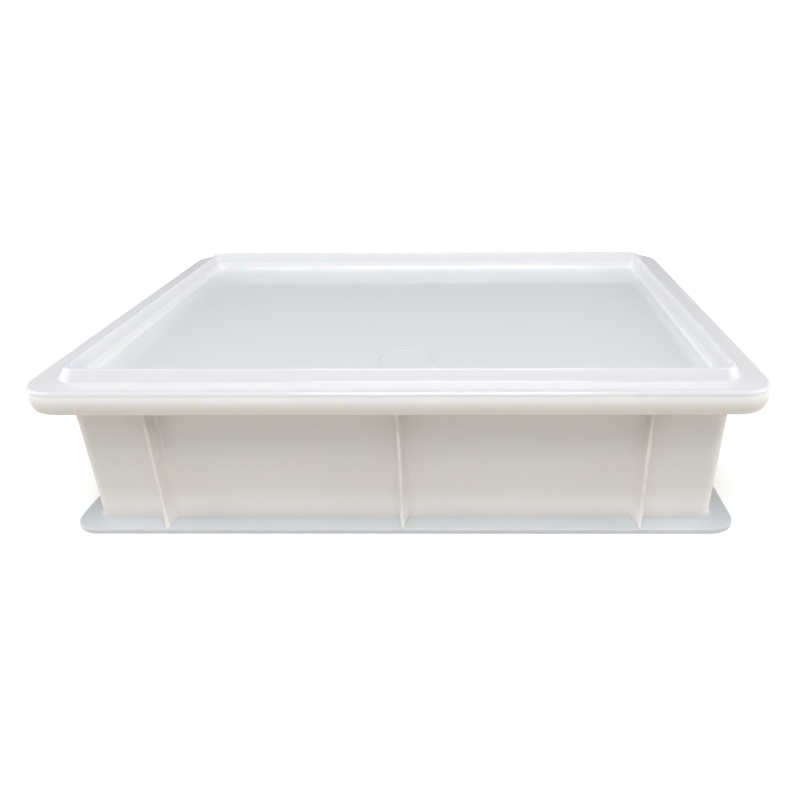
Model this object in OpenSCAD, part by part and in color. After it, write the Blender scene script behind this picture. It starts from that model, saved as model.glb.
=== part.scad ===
// Dough proofing box: a shallow stackable tray of moulded plastic with a lift-off lid.
// Millimetres. X runs along the long side, Z is up, and the origin is the centre of the
// footprint, on the surface that the tray stands on. An inset is a distance in from the
// outline of the tray's rim, which is also the outline of the lid.

/* [Box] */
// Length over the rim
box_l = 400; // [320:1:600]
// Width over the rim
box_w = 300; // [240:1:400]
// Height of the tray, from its base to the top of its rim
tray_h = 90; // [70:1:160]

/* [Wall and floor] */
// Thickness of the wall
wall_t = 2.4; // [1.8:0.1:3.2]
// Inset of the wall's outer face at the top
wall_in = 17.6; // [17:0.1:22]
// How much further in the wall stands at its foot
wall_lean = 2.1; // [0.5:0.1:4]
// Radius of the hollow curve from the wall's outer face to the base flange
foot_r = 2.5; // [1.5:0.5:5]
// Thickness of the floor
floor_t = 2.6; // [2:0.1:4]
// Radius where the inside of the wall meets the floor
floor_r = 4; // [2:0.5:8]
// Radius of the flat floor's own corners
floor_corner_r = 0.5; // [0.5:0.5:8]

/* [Rim and lip] */
// Radius of the rim's corners, seen from above
rim_r = 21; // [14:1:24]
// Thickness of the flat rim
rim_t = 2.4; // [1.8:0.1:3.5]
// Height of the turned-down lip, from the rim's top
lip_h = 11.2; // [8:0.1:16]
// Thickness of the lip
lip_t = 3; // [2:0.1:3.6]
// How much further in the lip's lower edge stands
lip_lean = 0.5; // [0:0.1:1]
// Largest radius of the lip's lower outer edge
lip_round = 2.3; // [0.5:0.1:3]
// Inset of the mouth that the lid drops into
mouth_in = 18.2; // [17.5:0.1:19]

/* [Base flange] */
// Inset of the flange's edge
flange_in = 7.1; // [4:0.1:9]
// Radius of the flange's corners, seen from above
flange_r = 15.5; // [12:0.5:19]
// Thickness of the flange
flange_t = 3; // [2.4:0.1:5]
// Depth of the stacking recess under the base
stack_d = 1.4; // [0.8:0.1:1.8]

/* [Ribs under the rim] */
// Distance between neighbouring ribs on the long sides
rib_gap_l = 136; // [90:1:145]
// Distance between neighbouring ribs on the short sides
rib_gap_w = 84; // [60:1:92]
// Thickness of a rib
rib_t = 2; // [1.6:0.1:4]
// Inset of a rib's tip at the top
rib_in = 6; // [5:0.1:9]
// How far each flank of a rib has spread where it meets the wall
flare_w = 3.5; // [1:0.1:5]
// How far out from the wall the flanks start to spread
flare_reach = 10; // [4:0.5:12]

/* [Lid] */
// Thickness of the lid
lid_t = 2.2; // [1.6:0.1:2.8]
// Depth of the panel below the lid's flat border
dish_d = 7.5; // [6:0.1:11]
// Height of the stacking ridge above the border
ridge_h = 6; // [4:0.1:9]
// Width of the ridge's top
ridge_top_w = 2.2; // [1.6:0.1:3]
// How far the ridge's outer face leans in over its height
ridge_run = 4.2; // [0.5:0.1:5]
// Radius of the hollow curve from the border to the ridge
ridge_foot_r = 3; // [0.5:0.1:4]
// How far the dish's wall leans in, from the ridge's top to the panel
dish_lean = 1; // [0.4:0.1:2]
// Radius where the dish's wall meets the panel
dish_r = 3.5; // [1:0.5:4]

/* [Badge ring] */
// Outside diameter of the plain ring on the panel
ring_d = 33.6; // [20:0.1:60]
// Width of the ring's line
ring_w = 1.2; // [0.8:0.1:3]
// Height of the ring above the panel
ring_h = 0.4; // [0.2:0.1:1]
// Distance from the rim's front edge to the ring's centre
ring_from_front = 65; // [50:1:120]

/* [Clearances] */
// Gap between the lid's plug and the mouth, all round
plug_gap = 0.5; // [0.3:0.05:1.5]
// Gap between the lid's plug and the seat under it
seat_gap = 0.6; // [0.3:0.1:2]
// Gap between the stacking recess and the ridge of the lid below
stack_gap = 0.5; // [0.3:0.05:1.5]

/* [Hidden] */
$fn = 64;
joint_overlap = 0.5;                    // how far pieces of one moulding run into each other
edge_r = 1;                             // rounding of the outer edges
seam_r = 0.4;                           // rounding of the rim's edge, where the lid meets it
skirt_reach = 1;                        // how far the wall's foot ring runs past its curve
arc_steps = 4;
flank_steps = 6;

// Insets and heights that follow from the sizes above
foot_in = wall_in + wall_lean;
corner_in = foot_in + wall_t + floor_r + floor_corner_r;
dish_slope = dish_lean / (ridge_h + dish_d);
plug_in = mouth_in + plug_gap;
dish_in = plug_in + lid_t;
ridge_inner = dish_in - dish_slope * ridge_h;
ridge_outer = ridge_inner - ridge_top_w;
ridge_in = ridge_outer - ridge_run;
ridge_lean = atan(ridge_run / ridge_h);
ridge_foot_out = ridge_foot_r * (1 / cos(ridge_lean) - tan(ridge_lean));
recess_in = ridge_outer - stack_d * ridge_run / ridge_h - stack_gap;
skirt_in = min(recess_in, foot_in - foot_r) - skirt_reach;
mouth_out = mouth_in - wall_t;
floor_z = stack_d + floor_t;
lid_top = tray_h + lid_t;
ridge_z = lid_top + ridge_h;
panel_z = lid_top - dish_d;
plug_z = panel_z - lid_t;
seat_z = plug_z - seat_gap;
shoulder_z = seat_z - wall_t;
lip_z = tray_h - lip_h;
lip_r = min(lip_round, lip_t - lip_lean - 0.1);
flank_in = wall_in + wall_lean / 2;
flank_reach = min(flare_reach, flank_in - rib_in - rib_t);

function arc(x, z, r, from, to) =
    [for (i = [0 : arc_steps]) let (a = from + (to - from) * i / arc_steps)
        [x + r * cos(a), z + r * sin(a)]];

// The rim's outline drawn in by inset, with corner radius r
module plate_outline(inset, r) {
    l = box_l - 2 * inset;
    w = box_w - 2 * inset;
    square([l - 2 * r, w], center = true);
    square([l, w - 2 * r], center = true);
    for (x = [-1, 1], y = [-1, 1])
        translate([x * (l / 2 - r), y * (w / 2 - r)]) circle(r);
}

// A plate with a hole whose corners have their centres at hole_c
module frame_plate(inset, r, hole_in, hole_c, z, t) {
    translate([0, 0, z]) linear_extrude(t) difference() {
        plate_outline(inset, r);
        plate_outline(hole_in, hole_c - hole_in);
    }
}

// Carries a profile round the box. The profile's x is the distance outwards from
// the line through the corner centres, which lie c in from the outline.
module sweep(c) {
    half_l = box_l / 2 - c;
    half_w = box_w / 2 - c;
    for (turn = [0, 180]) rotate(turn) {
        translate([half_l, half_w, 0]) rotate_extrude(angle = 90) children();
        translate([-half_l, half_w, 0]) rotate(90) rotate_extrude(angle = 90) children();
        translate([0, half_w, 0]) rotate([90, 0, 90])
            linear_extrude(2 * half_l, center = true) children();
        translate([half_l, 0, 0]) rotate([90, 0, 0])
            linear_extrude(2 * half_w, center = true) children();
    }
}

// Floor, wall and mouth of the tray in one profile
module wall_profile() {
    c = corner_in;
    inner_foot = foot_in + wall_t;
    polygon(concat(
        [[0, stack_d], [c - recess_in, stack_d], [c - recess_in, 0], [c - skirt_in, 0],
            [c - skirt_in, flange_t]],
        arc(c - foot_in + foot_r, flange_t + foot_r, foot_r, 270, 180),
        [[c - wall_in, shoulder_z], [c - mouth_out, shoulder_z + abs(wall_in - mouth_out)],
            [c - mouth_out, tray_h], [c - mouth_in, tray_h], [c - mouth_in, seat_z],
            [c - wall_in - wall_t, seat_z]],
        arc(c - inner_foot - floor_r, floor_z + floor_r, floor_r, 0, -90),
        [[0, floor_z]]));
}

// The flat rim's outer edge and the lip turned down from it
module lip_profile() {
    c = rim_r;
    inner = lip_t + joint_overlap;
    polygon(concat(
        [[c - lip_t, lip_z]],
        arc(c - lip_lean - lip_r, lip_z + lip_r, lip_r, -90, 0),
        arc(c - seam_r, tray_h - seam_r, seam_r, 0, 90),
        [[c - inner, tray_h], [c - inner, tray_h - rim_t], [c - lip_t, tray_h - rim_t]]));
}

// The base flange's rounded edge
module flange_profile() {
    c = flange_in + flange_r;
    out = flange_r;
    polygon(concat(
        [[out - 2 * edge_r - joint_overlap, 0], [out, 0]],
        arc(out - edge_r, flange_t - edge_r, edge_r, 0, 90),
        [[out - 2 * edge_r - joint_overlap, flange_t]]));
}

// One rib standing out from the middle of the wall at y = -edge, towards -y. Seen from
// above its flanks are quarter ellipses that run from the fin into the wall.
module rib(edge) {
    half = rib_t / 2;
    tip = 0.8 * half;
    in_wall = joint_overlap;
    spread = [for (i = [0 : flank_steps]) let (a = 90 * i / flank_steps)
        [half + flare_w * (1 - cos(a)), -flank_in + flank_reach * (1 - sin(a))]];
    flank = concat([[half + flare_w, -corner_in]], [for (i = [flank_steps : -1 : 0]) spread[i]],
        arc(half - tip, -rib_in - tip, tip, 0, 90));
    plan = concat(flank, [for (i = [len(flank) - 1 : -1 : 0]) [-flank[i][0], flank[i][1]]]);
    base_z = flange_t - joint_overlap;
    under_rim = tray_h - rim_t + joint_overlap;
    side = [[-rib_in, under_rim], [-rib_in - wall_lean, base_z], [-foot_in - in_wall, base_z],
        [-foot_in - in_wall, flange_t + foot_r], [-wall_in - in_wall, shoulder_z],
        [-mouth_out - in_wall, shoulder_z + abs(wall_in - mouth_out)],
        [-mouth_out - in_wall, under_rim]];
    translate([0, -edge, 0]) mirror([0, 1, 0]) intersection() {
        linear_extrude(tray_h) polygon(plan);
        rotate([90, 0, 90]) linear_extrude(4 * (half + flare_w), center = true) polygon(side);
    }
}

module ribs() {
    for (turn = [0, 180]) rotate(turn) for (i = [-1 : 1]) {
        translate([i * rib_gap_l, 0, 0]) rib(box_w / 2);
        rotate(90) translate([i * rib_gap_w, 0, 0]) rib(box_l / 2);
    }
}

// The dough tray: floor, leaning wall, seat for the lid, rim, lip, ribs and base flange
module tray() {
    color("#dedbd6") union() {
        sweep(corner_in) wall_profile();
        translate([0, 0, stack_d + floor_t / 2])
            cube([box_l - 2 * corner_in, box_w - 2 * corner_in, floor_t], center = true);
        frame_plate(lip_t, rim_r - lip_t, mouth_out + joint_overlap, corner_in,
            tray_h - rim_t, rim_t);
        sweep(rim_r) lip_profile();
        frame_plate(flange_in + 2 * edge_r, flange_r - 2 * edge_r, skirt_in + joint_overlap,
            corner_in, 0, flange_t);
        sweep(flange_in + flange_r) flange_profile();
        ribs();
    }
}

// Stacking ridge, dish wall and panel edge of the lid in one profile
module ridge_profile() {
    c = corner_in;
    border = ridge_in - ridge_foot_r - skirt_reach;
    plug_at_rim = plug_in + dish_slope * lid_t;
    plug_foot = plug_in + dish_slope * (dish_d + lid_t);
    panel_edge = dish_in + dish_slope * dish_d;
    polygon(concat(
        [[0, plug_z]],
        arc(c - plug_foot - dish_r, plug_z + dish_r, dish_r, -90, 0),
        [[c - plug_at_rim, tray_h], [c - border, tray_h], [c - border, lid_top]],
        arc(c - ridge_in + ridge_foot_out, lid_top + ridge_foot_r, ridge_foot_r,
            270, 180 + ridge_lean),
        [[c - ridge_outer, ridge_z], [c - ridge_inner, ridge_z]],
        arc(c - panel_edge - dish_r, panel_z + dish_r, dish_r, 0, -90),
        [[0, panel_z]]));
}

// The lid's rounded outer edge
module lid_edge_profile() {
    polygon(concat(
        [[rim_r - 2 * edge_r - joint_overlap, tray_h], [rim_r, tray_h]],
        arc(rim_r - edge_r, lid_top - edge_r, edge_r, 0, 90),
        [[rim_r - 2 * edge_r - joint_overlap, lid_top]]));
}

// A plain raised ring on the panel, near the front
module badge_ring() {
    translate([0, ring_from_front - box_w / 2, panel_z - joint_overlap]) difference() {
        cylinder(d = ring_d, h = ring_h + joint_overlap);
        translate([0, 0, -1]) cylinder(d = ring_d - 2 * ring_w, h = ring_h + joint_overlap + 2);
    }
}

// The lid: flat border on the rim, stacking ridge, and a panel sunk into the mouth
module lid() {
    color("#e6e9ec") union() {
        sweep(corner_in) ridge_profile();
        translate([0, 0, panel_z - lid_t / 2])
            cube([box_l - 2 * corner_in, box_w - 2 * corner_in, lid_t], center = true);
        frame_plate(2 * edge_r, rim_r - 2 * edge_r,
            ridge_in - ridge_foot_r - skirt_reach + joint_overlap, corner_in, tray_h, lid_t);
        sweep(rim_r) lid_edge_profile();
        badge_ring();
    }
}

tray();
lid();
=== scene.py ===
"""Looks of the dough proofing box: a ribbed stacking tray and its lift-off lid.

Metres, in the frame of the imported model: X along the long side, Y to the back, Z up, and
the origin on the surface that the tray stands on. Both mouldings are lofts: a profile of
corners, each with its own rounding, is carried round the box as rounded rectangles. An
inset is a distance in from the outline of the rim, which is also the outline of the lid.
"""
import math
import bpy
from mathutils import Matrix, Vector


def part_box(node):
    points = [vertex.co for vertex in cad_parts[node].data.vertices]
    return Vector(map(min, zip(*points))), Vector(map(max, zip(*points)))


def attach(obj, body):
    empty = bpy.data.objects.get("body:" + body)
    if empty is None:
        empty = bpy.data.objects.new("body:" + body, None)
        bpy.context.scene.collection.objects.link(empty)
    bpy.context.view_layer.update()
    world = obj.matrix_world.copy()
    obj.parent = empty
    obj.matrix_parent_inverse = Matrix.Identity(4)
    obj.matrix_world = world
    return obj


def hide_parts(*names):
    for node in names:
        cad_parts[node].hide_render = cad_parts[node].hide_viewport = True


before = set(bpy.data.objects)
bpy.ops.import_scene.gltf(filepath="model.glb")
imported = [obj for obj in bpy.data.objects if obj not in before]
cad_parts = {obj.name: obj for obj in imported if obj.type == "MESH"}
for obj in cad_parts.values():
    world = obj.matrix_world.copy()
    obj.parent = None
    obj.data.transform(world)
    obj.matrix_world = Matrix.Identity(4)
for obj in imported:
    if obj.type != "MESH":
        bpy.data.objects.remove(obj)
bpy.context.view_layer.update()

MM = 0.001

# Driving sizes of the tray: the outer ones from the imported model, the rest as in its source
tray_low, tray_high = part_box("tray")
lid_low, lid_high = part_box("lid")
BOX_L = tray_high.x - tray_low.x
BOX_W = tray_high.y - tray_low.y
TRAY_H = tray_high.z
WALL_T = 2.4 * MM
WALL_IN = 17.6 * MM
WALL_LEAN = 2.1 * MM
FOOT_R = 2.5 * MM
FLOOR_T = 2.6 * MM
FLOOR_R = 4 * MM
RIM_R = 21 * MM
RIM_T = 2.4 * MM
LIP_H = 11.2 * MM
LIP_T = 3 * MM
LIP_LEAN = 0.5 * MM
MOUTH_IN = 18.2 * MM
FLANGE_IN = 7.1 * MM
FLANGE_R = 15.5 * MM
FLANGE_T = 3 * MM
STACK_D = 1.4 * MM

# Driving sizes of the ribs, as in the source
RIB_GAP_L = 136 * MM
RIB_GAP_W = 84 * MM
RIB_T = 2 * MM
RIB_IN = 6 * MM
FLARE_W = 3.5 * MM
FLARE_REACH = 10 * MM

# Driving sizes of the lid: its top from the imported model, the rest as in the source
LID_T = 2.2 * MM
DISH_D = 7.5 * MM
RIDGE_H = lid_high.z - TRAY_H - LID_T
RIDGE_TOP_W = 2.2 * MM
RIDGE_RUN = 4.2 * MM
DISH_LEAN = 1 * MM
DISH_R = 3.5 * MM
RING_D = 33.6 * MM
RING_W = 1.2 * MM
RING_H = 0.4 * MM
RING_FROM_FRONT = 65 * MM
PLUG_GAP = 0.5 * MM
SEAT_GAP = 0.6 * MM
STACK_GAP = 0.5 * MM

# Finer forms, matched to the photo. The source has 3 mm for the ridge's foot and 1 mm
# for the lid's edge, and none of the others
FLARE_TOP_REACH = 4 * MM
FLARE_TOP_PART = 0.6
RIB_TOP_Z = 66 * MM
RIB_FULL_Z = 30 * MM
RIB_FOOT_R = 1.2 * MM
RIDGE_FOOT_R = 1.6 * MM
EDGE_IN = 0.5 * MM
EDGE_R = 1.9 * MM
PANEL_SAG = 0.35 * MM

# Insets and heights that follow from them
FOOT_IN = WALL_IN + WALL_LEAN
CORNER_IN = FOOT_IN + WALL_T + FLOOR_R + 0.5 * MM
FLANGE_CORNER_IN = FLANGE_IN + FLANGE_R
MOUTH_OUT = MOUTH_IN - WALL_T
LID_TOP = TRAY_H + LID_T
RIDGE_Z = LID_TOP + RIDGE_H
PANEL_Z = LID_TOP - DISH_D
PLUG_Z = PANEL_Z - LID_T
SEAT_Z = PLUG_Z - SEAT_GAP
SHOULDER_Z = SEAT_Z - WALL_T
LIP_Z = TRAY_H - LIP_H
DISH_SLOPE = DISH_LEAN / (RIDGE_H + DISH_D)
PLUG_IN = MOUTH_IN + PLUG_GAP
DISH_IN = PLUG_IN + LID_T
RIDGE_INNER = DISH_IN - DISH_SLOPE * RIDGE_H
RIDGE_OUTER = RIDGE_INNER - RIDGE_TOP_W
RIDGE_IN = RIDGE_OUTER - RIDGE_RUN
RECESS_IN = RIDGE_OUTER - STACK_D * RIDGE_RUN / RIDGE_H - STACK_GAP

# Linear colours of the room
WHITE = [1, 1, 1, 1]
BLACK = [0, 0, 0, 1]
BACK_GREY = [0.4, 0.4, 0.4, 1]
FRONT_GREY = [0.47, 0.46, 0.45, 1]

# Fineness of the lofts. A plain loop this near a corner keeps the flat beyond it flat
NEAR = 2 * MM
CORNER_STEPS = 20
SIDE_STEPS = 10
LEAST_R = 0.3 * MM
SHARP_ANGLE = math.radians(38)


# Shapes

def rounded(profile, steps=5):
    """A profile of (inset, z, corner inset, rounding) corners, as (inset, z, corner inset)
    points with each corner drawn as an arc."""
    points = []
    last = len(profile) - 1
    for i, (inset, z, centre, r) in enumerate(profile):
        here = Vector((inset, z))
        if r <= 0 or i in (0, last):
            points.append((inset, z, centre))
            continue
        back = (Vector(profile[i - 1][:2]) - here).normalized()
        ahead = (Vector(profile[i + 1][:2]) - here).normalized()
        half = back.angle(ahead) / 2
        reach = r / math.tan(half)
        middle = here + (back + ahead).normalized() * (r / math.sin(half))
        start = here + back * reach - middle
        end = here + ahead * reach - middle
        turn = start.angle(end)
        for k in range(steps + 1):
            t = k / steps
            way = start * math.sin((1 - t) * turn) + end * math.sin(t * turn)
            point = middle + way / math.sin(turn)
            points.append((point.x, point.y, centre))
    return points


def loop(inset, z, centre):
    """One rounded rectangle, anticlockwise from above, whose corners are centred at that
    inset. Past its centre a corner keeps the least radius."""
    r = max(centre - inset, LEAST_R)
    half_l = BOX_L / 2 - inset - r
    half_w = BOX_W / 2 - inset - r
    corners = [(half_l, -half_w, -90), (half_l, half_w, 0), (-half_l, half_w, 90),
               (-half_l, -half_w, 180)]
    points = []
    for i, (x, y, first) in enumerate(corners):
        for k in range(CORNER_STEPS + 1):
            a = math.radians(first + 90 * k / CORNER_STEPS)
            points.append(Vector((x + r * math.cos(a), y + r * math.sin(a), z)))
        nx, ny, first = corners[(i + 1) % 4]
        a = math.radians(first)
        goal = Vector((nx + r * math.cos(a), ny + r * math.sin(a), z))
        begin = points[-1]
        points += [begin.lerp(goal, k / SIDE_STEPS) for k in range(1, SIDE_STEPS)]
    return points


def loft(name, loops, shape=None):
    """A closed mesh through the loops, capped at the first and the last one."""
    n = len(loops[0])
    verts = [p for ring in loops for p in ring]
    if shape:
        verts = [shape(p) for p in verts]
    faces = [list(range(n))]
    for j in range(len(loops) - 1):
        for i in range(n):
            k = (i + 1) % n
            faces.append([j * n + k, j * n + i, (j + 1) * n + i, (j + 1) * n + k])
    faces.append([(len(loops) - 1) * n + i for i in reversed(range(n))])
    return solid(name, verts, faces)


def solid(name, verts, faces):
    """A smooth-shaded object from the mesh data, with edges sharp past the sharp angle."""
    mesh = bpy.data.meshes.new(name)
    mesh.from_pydata(verts, [], faces)
    mesh.validate()
    mesh.shade_smooth()
    mesh.set_sharp_from_angle(angle=SHARP_ANGLE)
    thing = bpy.data.objects.new(name, mesh)
    bpy.context.scene.collection.objects.link(thing)
    return thing


def flat_insets(edge):
    """Insets of the loops that fill a flat floor or panel, from its middle to its edge."""
    middle = BOX_W / 2 - 1 * MM
    count = 9
    return [middle + (edge - middle) * i / count for i in range(count)]


def tray_moulding():
    """Floor, wall, seat, mouth, rim, lip, base flange and stacking recess in one loft."""
    wall, rim, base = CORNER_IN, RIM_R, FLANGE_CORNER_IN
    floor_z = STACK_D + FLOOR_T
    inner_foot = FOOT_IN + WALL_T
    profile = [
        (inner_foot + FLOOR_R + 0.5 * MM, floor_z, wall, 0),
        (inner_foot, floor_z, wall, FLOOR_R),
        (WALL_IN + WALL_T, SEAT_Z, wall, 0.5 * MM),
        (MOUTH_IN, SEAT_Z, wall, 0.4 * MM),
        (MOUTH_IN, TRAY_H, wall, 0.6 * MM),
        (MOUTH_IN - NEAR, TRAY_H, wall, 0),
        (NEAR, TRAY_H, rim, 0),
        (EDGE_IN, TRAY_H, rim, 0.12 * MM),
        (0, TRAY_H - 3.5 * MM, rim, 12 * MM),
        (LIP_LEAN, LIP_Z + 3.6 * MM, rim, 4 * MM),
        (LIP_LEAN + 1.3 * MM, LIP_Z, rim, 1.2 * MM),
        (LIP_T, LIP_Z, rim, 0.15 * MM),
        (LIP_T, TRAY_H - RIM_T, rim, 0.8 * MM),
        (LIP_T + NEAR, TRAY_H - RIM_T, rim, 0),
        (MOUTH_OUT - NEAR, TRAY_H - RIM_T, wall, 0),
        (MOUTH_OUT, TRAY_H - RIM_T, wall, 0.8 * MM),
        (MOUTH_OUT, SHOULDER_Z + WALL_IN - MOUTH_OUT, wall, 0.8 * MM),
        (WALL_IN, SHOULDER_Z, wall, 1.5 * MM),
        (FOOT_IN, FLANGE_T, wall, FOOT_R),
        (FOOT_IN - FOOT_R - NEAR, FLANGE_T, wall, 0),
        (FLANGE_IN + NEAR, FLANGE_T, base, 0),
        (FLANGE_IN, FLANGE_T, base, 0.9 * MM),
        (FLANGE_IN, 0, base, 0.3 * MM),
        (FLANGE_IN + NEAR, 0, base, 0),
        (RECESS_IN - NEAR, 0, wall, 0),
        (RECESS_IN, 0, wall, 0.3 * MM),
        (RECESS_IN, STACK_D, wall, 0.3 * MM),
        (RECESS_IN + 3 * MM, STACK_D, wall, 0),
    ]
    loops = [loop(i, floor_z, wall) for i in flat_insets(profile[0][0])]
    loops += [loop(*point) for point in rounded(profile)]
    loops += [loop(i, STACK_D, wall) for i in reversed(flat_insets(profile[-1][0]))]
    return loft("tray_moulding", loops)


def one_rib():
    """A rib at y = 0 that stands out towards -y. It is a stack of outlines whose flanks are
    quarter ellipses, which start near the wall at the top and at the tip from half height
    down. A small hollow runs round its foot. Its ends are sunk in the flange and the rim and
    its back is buried in the wall, so that it fuses with them."""
    sunk, buried, toe = 0.4 * MM, 1.2 * MM, 0.12 * MM
    low, high = FLANGE_T - sunk, TRAY_H - RIM_T + sunk
    half = RIB_T / 2
    tip_r = 0.9 * half
    heights = [low + RIB_FOOT_R * (k / 6) ** 1.6 for k in range(8)]
    heights += [heights[-1] + (high - heights[-1]) * k / 24 for k in range(1, 25)]
    wall_run = WALL_LEAN / (SHOULDER_Z - FLANGE_T - FOOT_R)
    outlines = []
    for z in heights:
        rise = max(RIB_FOOT_R - max(z - FLANGE_T, 0), 0)
        spread = RIB_FOOT_R - math.sqrt(RIB_FOOT_R ** 2 - rise ** 2)
        wall = WALL_IN + (SHOULDER_Z - z) * wall_run
        if z > SHOULDER_Z:
            wall = max(WALL_IN - (z - SHOULDER_Z), MOUTH_OUT)
        tip = RIB_IN + WALL_LEAN * (TRAY_H - z) / TRAY_H
        grown = min(max((RIB_TOP_Z - z) / (RIB_TOP_Z - RIB_FULL_Z), 0), 1)
        grown = grown * grown * (3 - 2 * grown)
        reach = min(FLARE_TOP_REACH + (FLARE_REACH - FLARE_TOP_REACH) * grown,
                    wall - tip - RIB_T)
        wide = FLARE_W * (FLARE_TOP_PART + (1 - FLARE_TOP_PART) * grown)
        side = []
        for k in range(6):
            a = math.radians(90 * k / 5)
            side.append(((tip_r + spread) * math.sin(a) + half - tip_r,
                         tip + tip_r - (tip_r + spread) * math.cos(a)))
        for k in range(13):
            a = math.radians(90 * k / 12)
            side.append((half + spread * math.cos(a) + wide * (1 - math.cos(a)),
                         wall - reach * (1 - math.sin(a)) - spread * math.sin(a)))
        side.append((half + wide + buried, wall - spread + toe))
        side.append((half + wide + buried, wall + buried))
        mirrored = [(-x, y) for x, y in reversed(side)]
        outlines.append([Vector((x, y, z)) for x, y in mirrored + side[1:]])
    return loft("rib_master", list(reversed(outlines)))


def lid_shape(point):
    """Lets the panel sag a little towards its middle, as thin moulded panels do."""
    if point.z > LID_TOP - DISH_D / 2:
        return point
    across = 1 - (point.x / (BOX_L / 2 - DISH_IN)) ** 2
    along = 1 - (point.y / (BOX_W / 2 - DISH_IN)) ** 2
    if across <= 0 or along <= 0:
        return point
    return point - Vector((0, 0, PANEL_SAG * across * along))


def lid_moulding():
    """Panel, dish wall, stacking ridge, border and plug in one loft."""
    wall, rim = CORNER_IN, RIM_R
    plug_at_rim = PLUG_IN + DISH_SLOPE * LID_T
    plug_foot = PLUG_IN + DISH_SLOPE * (DISH_D + LID_T)
    panel_edge = DISH_IN + DISH_SLOPE * DISH_D
    profile = [
        (panel_edge + DISH_R + 1 * MM, PANEL_Z, wall, 0),
        (panel_edge, PANEL_Z, wall, DISH_R),
        (RIDGE_INNER, RIDGE_Z, wall, 0.7 * MM),
        (RIDGE_OUTER, RIDGE_Z, wall, 0.7 * MM),
        (RIDGE_IN, LID_TOP, wall, RIDGE_FOOT_R),
        (RIDGE_IN - 3 * MM, LID_TOP, wall, 0),
        (4 * MM, LID_TOP, rim, 0),
        (EDGE_IN, LID_TOP, rim, EDGE_R),
        (EDGE_IN, TRAY_H, rim, 0.1 * MM),
        (4 * MM, TRAY_H, rim, 0),
        (plug_at_rim - NEAR, TRAY_H, wall, 0),
        (plug_at_rim, TRAY_H, wall, 0.3 * MM),
        (plug_foot, PLUG_Z, wall, DISH_R),
        (plug_foot + DISH_R + 1 * MM, PLUG_Z, wall, 0),
    ]
    loops = [loop(i, PANEL_Z, wall) for i in flat_insets(profile[0][0])]
    loops += [loop(*point) for point in rounded(profile)]
    loops += [loop(i, PLUG_Z, wall) for i in reversed(flat_insets(profile[-1][0]))]
    return loft("lid_moulding", loops, lid_shape)


def badge_ring():
    """The plain raised ring on the panel, with a rounded top."""
    steps, top_steps, sunk = 96, 6, 0.4 * MM
    centre = Vector((0, RING_FROM_FRONT - BOX_W / 2, PANEL_Z - PANEL_SAG))
    middle_r = (RING_D - RING_W) / 2
    section = [(RING_W / 2, -sunk)]
    for k in range(top_steps + 1):
        a = math.pi * k / top_steps
        section.append((RING_W / 2 * math.cos(a), RING_H * math.sin(a)))
    section.append((-RING_W / 2, -sunk))
    verts, faces = [], []
    n = len(section)
    for i in range(steps):
        a = 2 * math.pi * i / steps
        for out, up in section:
            r = middle_r + out
            verts.append(centre + Vector((r * math.cos(a), r * math.sin(a), up)))
        for k in range(n):
            j = (k + 1) % n
            m = (i + 1) % steps
            faces.append([i * n + k, m * n + k, m * n + j, i * n + j])
    return solid("badge_ring", verts, faces)


# Geometry Nodes

def add(tree, kind, values=None, links=None, **settings):
    """Adds a node, with its settings, its sockets' values and the links into it."""
    node = tree.nodes.new(kind)
    for name, value in settings.items():
        setattr(node, name, value)
    for key, value in (values or {}).items():
        node.inputs[key].default_value = value
    for key, socket in (links or {}).items():
        tree.links.new(socket, node.inputs[key])
    return node


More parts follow.
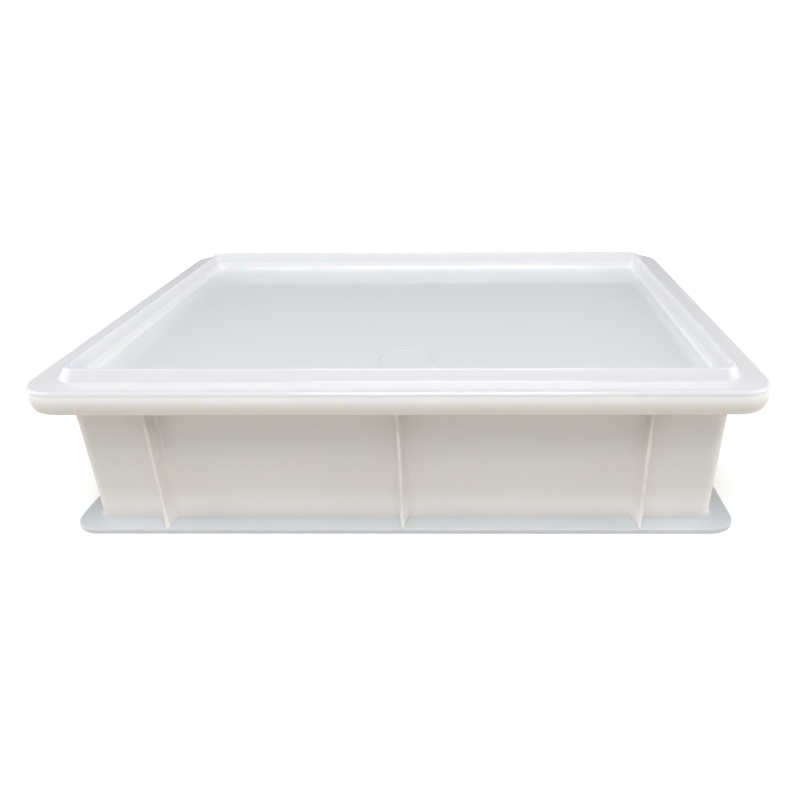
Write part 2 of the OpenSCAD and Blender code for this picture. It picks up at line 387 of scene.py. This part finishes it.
def rib_tree(plastic):
    """Stands copies of one rib along the four sides of the tray."""
    tree = bpy.data.node_groups.new("ribs_round_the_tray", "GeometryNodeTree")
    face = tree.interface
    face.new_socket("Geometry", in_out="INPUT", socket_type="NodeSocketGeometry")
    for name in ("Half length", "Half width", "Gap on long sides", "Gap on short sides"):
        face.new_socket(name, in_out="INPUT", socket_type="NodeSocketFloat")
    face.new_socket("Ribs on a side", in_out="INPUT", socket_type="NodeSocketInt")
    face.new_socket("Geometry", in_out="OUTPUT", socket_type="NodeSocketGeometry")
    given = tree.nodes.new("NodeGroupInput").outputs
    less = add(tree, "ShaderNodeMath", {1: 1.0}, {0: given["Ribs on a side"]},
               operation="SUBTRACT")
    joined = tree.nodes.new("GeometryNodeJoinGeometry")
    for turn in range(4):
        long_side = turn % 2 == 0
        gap = given["Gap on long sides" if long_side else "Gap on short sides"]
        out = given["Half width" if long_side else "Half length"]
        row = add(tree, "ShaderNodeMath", {}, {0: gap, 1: less.outputs[0]},
                  operation="MULTIPLY")
        start = add(tree, "ShaderNodeMath", {1: -0.5}, {0: row.outputs[0]},
                    operation="MULTIPLY")
        edge = add(tree, "ShaderNodeMath", {1: -1.0}, {0: out}, operation="MULTIPLY")
        first = add(tree, "ShaderNodeCombineXYZ", {}, {0: start.outputs[0],
                                                       1: edge.outputs[0]})
        step = add(tree, "ShaderNodeCombineXYZ", {}, {0: gap})
        line = add(tree, "GeometryNodeMeshLine", {},
                   {"Count": given["Ribs on a side"], "Start Location": first.outputs[0],
                    "Offset": step.outputs[0]})
        stood = add(tree, "GeometryNodeInstanceOnPoints", {},
                    {"Points": line.outputs[0], "Instance": given["Geometry"]})
        real = add(tree, "GeometryNodeRealizeInstances", {},
                   {"Geometry": stood.outputs[0]})
        turned = add(tree, "GeometryNodeTransform",
                     {"Rotation": (0, 0, turn * math.pi / 2)},
                     {"Geometry": real.outputs[0]})
        tree.links.new(turned.outputs[0], joined.inputs[0])
    whole = add(tree, "GeometryNodeRealizeInstances", {}, {"Geometry": joined.outputs[0]})
    dressed = add(tree, "GeometryNodeSetMaterial", {"Material": plastic},
                  {"Geometry": whole.outputs[0]})
    add(tree, "NodeGroupOutput", {}, {"Geometry": dressed.outputs[0]})
    return tree


def evaluated_mesh(thing):
    """A plain mesh of what the object's modifiers make."""
    view = bpy.context.evaluated_depsgraph_get()
    return bpy.data.meshes.new_from_object(thing.evaluated_get(view))


def fuse(piece, other):
    """Joins other to piece as one closed skin, the way one shot of plastic fills both."""
    union = piece.modifiers.new("fuse", "BOOLEAN")
    union.operation = "UNION"
    union.solver = "EXACT"
    union.object = other
    mesh = evaluated_mesh(piece)
    piece.modifiers.clear()
    piece.data = mesh
    mesh.name = piece.name
    mesh.shade_smooth()
    mesh.set_sharp_from_angle(angle=SHARP_ANGLE)
    bpy.data.objects.remove(other)


def tray_ribs(plastic):
    """The twelve ribs as one plain mesh."""
    master = one_rib()
    tree = rib_tree(plastic)
    modifier = master.modifiers.new("ribs", "NODES")
    modifier.node_group = tree
    sizes = {"Half length": BOX_L / 2, "Half width": BOX_W / 2,
             "Gap on long sides": RIB_GAP_L, "Gap on short sides": RIB_GAP_W,
             "Ribs on a side": 3}
    for item in tree.interface.items_tree:
        if item.in_out == "INPUT" and item.name in sizes:
            modifier[item.identifier] = sizes[item.name]
    mesh = evaluated_mesh(master)
    bpy.data.objects.remove(master)
    ribs = bpy.data.objects.new("tray_ribs", mesh)
    bpy.context.scene.collection.objects.link(ribs)
    return ribs


# Materials

def colour(text):
    """An sRGB hex colour as linear RGBA."""
    parts = [int(text[i:i + 2], 16) / 255 for i in (1, 3, 5)]
    return [p / 12.92 if p <= 0.04045 else ((p + 0.055) / 1.055) ** 2.4 for p in parts] + [1.0]


def new_material(name):
    """An empty node material with its Principled shader, coordinates and output."""
    material = bpy.data.materials.new(name)
    material.use_nodes = True
    tree = material.node_tree
    tree.nodes.clear()
    shader = tree.nodes.new("ShaderNodeBsdfPrincipled")
    add(tree, "ShaderNodeOutputMaterial", {}, {"Surface": shader.outputs[0]})
    place = tree.nodes.new("ShaderNodeTexCoord").outputs["Object"]
    return material, tree, shader, place


def ramp(tree, value, low, high, first=0.0, last=1.0):
    """A soft step from first to last as the socket value goes from low to high."""
    return add(tree, "ShaderNodeMapRange",
               {"From Min": low, "From Max": high, "To Min": first, "To Max": last},
               {"Value": value}, interpolation_type="SMOOTHSTEP").outputs[0]


def mixed(tree, part, below, above):
    """The colour below, which turns into the colour above as the socket part grows to 1."""
    sides = {"A": below, "B": above}
    plain = {key: side for key, side in sides.items() if isinstance(side, list)}
    given = {key: side for key, side in sides.items() if key not in plain}
    return add(tree, "ShaderNodeMix", plain, {0: part, **given},
               data_type="RGBA").outputs["Result"]


def facing_up(tree):
    """0 on upright faces and 1 on level ones."""
    normal = tree.nodes.new("ShaderNodeTexCoord").outputs["Normal"]
    part = add(tree, "ShaderNodeSeparateXYZ", {}, {0: normal})
    return ramp(tree, part.outputs["Z"], 0.2, 0.6)


def tray_plastic():
    """Taken to be natural high-density polyethylene, injection moulded in a finely blasted
    tool, which gives a warm, milky white with a satin sheen and a fine grain. The tints that
    change with height and slope are matched to the photo. They are painted light and shade,
    not known to be in the plastic: a paler wall foot and lip top, a darker wall under the lip
    and lip bottom, and cooler, greyer level faces and flange."""
    # wall_dark and wall_pale are the plastic's own cloudy tone; the other tints here are
    # painted light and shade
    wall_dark, wall_pale = colour("#e7e2db"), colour("#ebe6e1")
    foot, painted_shade_under_lip, painted_shade_flange_edge = colour("#fcf8f5"), colour("#dcd6cb"), colour("#d4d6da")
    painted_shade_lip_bottom, painted_light_lip_top = colour("#e3ddd2"), colour("#fdfdfb")
    painted_cool_light_level, painted_shade_level_flange = colour("#e6e3df"), colour("#d6dade")
    material, tree, shader, place = new_material("natural_hdpe_satin")
    shader.inputs["IOR"].default_value = 1.53
    shader.inputs["Subsurface Weight"].default_value = 0.15
    shader.inputs["Subsurface Scale"].default_value = 2 * MM
    shader.inputs["Subsurface Radius"].default_value = (1.0, 0.8, 0.6)
    height = add(tree, "ShaderNodeSeparateXYZ", {}, {0: place}).outputs["Z"]
    cloudy = add(tree, "ShaderNodeTexNoise", {"Scale": 1 / (70 * MM), "Detail": 3},
                 {"Vector": place}).outputs[0]
    wall = mixed(tree, cloudy, wall_dark, wall_pale)
    # Painted light: the wall turns paler towards its foot
    wall = mixed(tree, ramp(tree, height, 26 * MM, 6 * MM), wall, foot)
    # Painted shade: the wall turns darker under the lip
    wall = mixed(tree, ramp(tree, height, 50 * MM, 75 * MM), wall, painted_shade_under_lip)
    # Painted shade: upright faces at the flange's height turn darker and cooler
    wall = mixed(tree, ramp(tree, height, FLANGE_T + 1.5 * MM, FLANGE_T), wall, painted_shade_flange_edge)
    # Painted light and shade: the lip is pale at its top and darker at its bottom
    lip = mixed(tree, ramp(tree, height, LIP_Z + 2 * MM, TRAY_H), painted_shade_lip_bottom, painted_light_lip_top)
    upright = mixed(tree, ramp(tree, height, LIP_Z - 4 * MM, LIP_Z), wall, lip)
    # Painted shade: level faces at the flange are darker and cooler than the other level faces
    level = mixed(tree, ramp(tree, height, FLANGE_T + 0.9 * MM, FLANGE_T + 0.1 * MM),
                  painted_cool_light_level, painted_shade_level_flange)
    # Painted light: level faces take a cooler tint than upright ones
    tint = mixed(tree, facing_up(tree), upright, level)
    tree.links.new(tint, shader.inputs["Base Color"])
    tree.links.new(ramp(tree, cloudy, 0, 1, 0.36, 0.46), shader.inputs["Roughness"])
    # A blasted grain is about 0.1 mm wide. It is drawn at 0.9 mm, so that it shows
    grain = add(tree, "ShaderNodeTexNoise", {"Scale": 1 / (0.9 * MM), "Detail": 2},
                {"Vector": place})
    bump = add(tree, "ShaderNodeBump", {"Strength": 0.15, "Distance": 0.02 * MM},
               {"Height": grain.outputs[0]})
    tree.links.new(bump.outputs[0], shader.inputs["Normal"])
    return material


def lid_plastic():
    """Taken to be natural polypropylene, injection moulded in a polished tool, which gives a
    milky, slightly see-through white with a clear gloss. The paler upright walls, the lid's
    edge near its bottom and the ring are painted light, and the greyer panel is painted
    shade. They are matched to the photo and aren't known to be in the plastic."""
    # border_top is the plastic's tone on level faces; the other tints here are painted light
    # and shade
    painted_light_pale, painted_light_lid_edge = colour("#f2f2f5"), colour("#fdfdff")
    border_top, panel = colour("#ebebee"), colour("#e6eaed")
    material, tree, shader, place = new_material("natural_pp_gloss")
    shader.inputs["IOR"].default_value = 1.49
    shader.inputs["Subsurface Weight"].default_value = 0.6
    shader.inputs["Subsurface Scale"].default_value = 2 * MM
    shader.inputs["Subsurface Radius"].default_value = (0.8, 0.9, 1.0)
    part = add(tree, "ShaderNodeSeparateXYZ", {}, {0: place})
    # Painted light: upright faces are paler than level ones
    border = mixed(tree, facing_up(tree), painted_light_pale, border_top)
    # Painted light: the lid's edge turns near white towards its bottom
    border = mixed(tree, ramp(tree, part.outputs["Z"], TRAY_H + 1.4 * MM, TRAY_H + 0.3 * MM),
                   border, painted_light_lid_edge)
    # Painted shade: the panel is greyer than the border and walls above it
    over_rim = ramp(tree, part.outputs["Z"], PANEL_Z + 0.2 * MM, PANEL_Z + 1.5 * MM)
    tint = mixed(tree, over_rim, panel, border)
    # Painted highlight: the ring is drawn in the pale tint
    flat = add(tree, "ShaderNodeCombineXYZ", {}, {0: part.outputs["X"], 1: part.outputs["Y"]})
    out = add(tree, "ShaderNodeVectorMath", {1: (0, RING_FROM_FRONT - BOX_W / 2, 0)},
              {0: flat.outputs[0]}, operation="DISTANCE")
    off = add(tree, "ShaderNodeMath", {1: (RING_D - RING_W) / 2}, {0: out.outputs["Value"]},
              operation="SUBTRACT")
    away = add(tree, "ShaderNodeMath", {}, {0: off.outputs[0]}, operation="ABSOLUTE")
    on_ring = ramp(tree, away.outputs[0], 0.6 * RING_W, 0.4 * RING_W)
    tint = mixed(tree, on_ring, tint, painted_light_pale)
    tree.links.new(tint, shader.inputs["Base Color"])
    flow = add(tree, "ShaderNodeTexNoise", {"Scale": 1 / (45 * MM), "Detail": 2},
               {"Vector": place}).outputs[0]
    tree.links.new(ramp(tree, flow, 0, 1, 0.07, 0.12), shader.inputs["Roughness"])
    bump = add(tree, "ShaderNodeBump", {"Strength": 0.1, "Distance": 0.3 * MM},
               {"Height": flow})
    tree.links.new(bump.outputs[0], shader.inputs["Normal"])
    return material


def white_when_seen(tree, lit, seen):
    """The colour lit for rays that light the object, and the socket seen for rays that show
    the background, straight, mirrored or through the plastic."""
    path = tree.nodes.new("ShaderNodeLightPath").outputs
    first = add(tree, "ShaderNodeMath", {}, {0: path["Is Camera Ray"],
                                             1: path["Is Glossy Ray"]}, operation="MAXIMUM")
    shown = add(tree, "ShaderNodeMath", {}, {0: first.outputs[0],
                                             1: path["Is Transmission Ray"]},
                operation="MAXIMUM")
    return mixed(tree, shown.outputs[0], lit, seen)


# Surroundings, light and camera

def floor():
    """A plain white floor. A glow, which lights nothing else, lifts it to white. It lies a
    little low, so that it doesn't touch the flange."""
    half, low = 6.0, 0.2 * MM
    verts = [(-half, -half, 0), (half, -half, 0), (half, half, 0), (-half, half, 0)]
    ground = solid("floor", verts, [(0, 1, 2, 3)])
    ground.location.z = -low
    material, tree, shader, place = new_material("white_paper")
    shader.inputs["Base Color"].default_value = colour("#f4f4f4")
    shader.inputs["Roughness"].default_value = 0.9
    shader.inputs["Specular IOR Level"].default_value = 0.1
    away = add(tree, "ShaderNodeVectorMath", {}, {0: place}, operation="LENGTH")
    glow = ramp(tree, away.outputs["Value"], 0.2, 0.8, 0.35)
    seen = add(tree, "ShaderNodeCombineColor", {}, {0: glow, 1: glow, 2: glow})
    shown = white_when_seen(tree, BLACK, seen.outputs[0])
    tree.links.new(shown, shader.inputs["Emission Color"])
    shader.inputs["Emission Strength"].default_value = 1
    ground.data.materials.append(material)


def soft_lamp(name, place, size, power):
    """A square softbox that faces the middle of the box."""
    data = bpy.data.lights.new(name, "AREA")
    data.shape = "SQUARE"
    data.size = size
    data.energy = power
    lamp = bpy.data.objects.new(name, data)
    lamp.location = place
    aim = Vector((0, 0, TRAY_H / 2)) - Vector(place)
    lamp.rotation_mode = "QUATERNION"
    lamp.rotation_quaternion = aim.to_track_quat("-Z", "Y")
    bpy.context.scene.collection.objects.link(lamp)


def light():
    """A softbox above the front of the box and one at each side, with powers fitted to the
    tones of the photo and then trimmed. Behind the box the room is white at the
    horizon and grey above it, in front it is dim, and high up it is dark. The camera itself
    sees it white."""
    soft_lamp("top_softbox", place=(0, -0.42, 0.96), size=0.53, power=6.7)
    soft_lamp("left_softbox", place=(-1, -0.1, 0.6), size=0.8, power=5.2)
    soft_lamp("right_softbox", place=(1, -0.1, 0.6), size=0.8, power=5.3)
    world = bpy.data.worlds.new("white_room")
    bpy.context.scene.world = world
    world.use_nodes = True
    tree = world.node_tree
    tree.nodes.clear()
    way = tree.nodes.new("ShaderNodeTexCoord").outputs["Generated"]
    part = add(tree, "ShaderNodeSeparateXYZ", {}, {0: way})
    above_horizon = ramp(tree, part.outputs["Z"], 0.09, 0.21)
    behind = ramp(tree, part.outputs["Y"], -0.3, 0.3)
    high_up = ramp(tree, part.outputs["Z"], 0.25, 0.5)
    back = mixed(tree, above_horizon, WHITE, BACK_GREY)
    low = mixed(tree, behind, FRONT_GREY, back)
    whole = mixed(tree, high_up, low, BLACK)
    seen = tree.nodes.new("ShaderNodeLightPath").outputs["Is Camera Ray"]
    shown = mixed(tree, seen, whole, WHITE)
    room = add(tree, "ShaderNodeBackground", {"Strength": 1}, {"Color": shown})
    add(tree, "ShaderNodeOutputWorld", {}, {"Surface": room.outputs[0]})


def camera():
    """Stands in front of the box and a little above it, looking down at it. Its place, turn
    and lens come from the fit to the outline in the photo."""
    place = Vector((39.64, -481.73, 243.64)) * MM
    yaw, pitch, roll = -0.01064, 0.43753, -0.00590
    focal_px, image_px, middle_x_px = 711.56, 800, 464.63
    forward = Vector((math.sin(yaw) * math.cos(pitch), math.cos(yaw) * math.cos(pitch),
                      -math.sin(pitch)))
    level = Vector((math.cos(yaw), -math.sin(yaw), 0))
    raised = level.cross(forward)
    right = level * math.cos(roll) + raised * math.sin(roll)
    up = raised * math.cos(roll) - level * math.sin(roll)
    turn = Matrix((right, up, -forward)).transposed()
    data = bpy.data.cameras.new("camera")
    data.sensor_width = 36
    data.lens = data.sensor_width * focal_px / image_px
    data.shift_x = (image_px / 2 - middle_x_px) / image_px
    eye = bpy.data.objects.new("camera", data)
    eye.matrix_world = Matrix.Translation(place) @ turn.to_4x4()
    bpy.context.scene.collection.objects.link(eye)
    bpy.context.scene.camera = eye


def dress(piece, plastic, body):
    """Gives a piece its plastic and its material slot, and lets it ride on its body."""
    if not piece.data.materials:
        piece.data.materials.append(plastic)
    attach(piece, body)


# The object

hdpe = tray_plastic()
pp = lid_plastic()
moulding = tray_moulding()
moulding.data.materials.append(hdpe)
fuse(moulding, tray_ribs(hdpe))
dress(moulding, hdpe, "tray")
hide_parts("tray")
cover = lid_moulding()
dress(cover, pp, "lid")
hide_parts("lid")
dress(badge_ring(), pp, "lid")

floor()
light()
camera()
bpy.context.scene.view_settings.view_transform = "Standard"
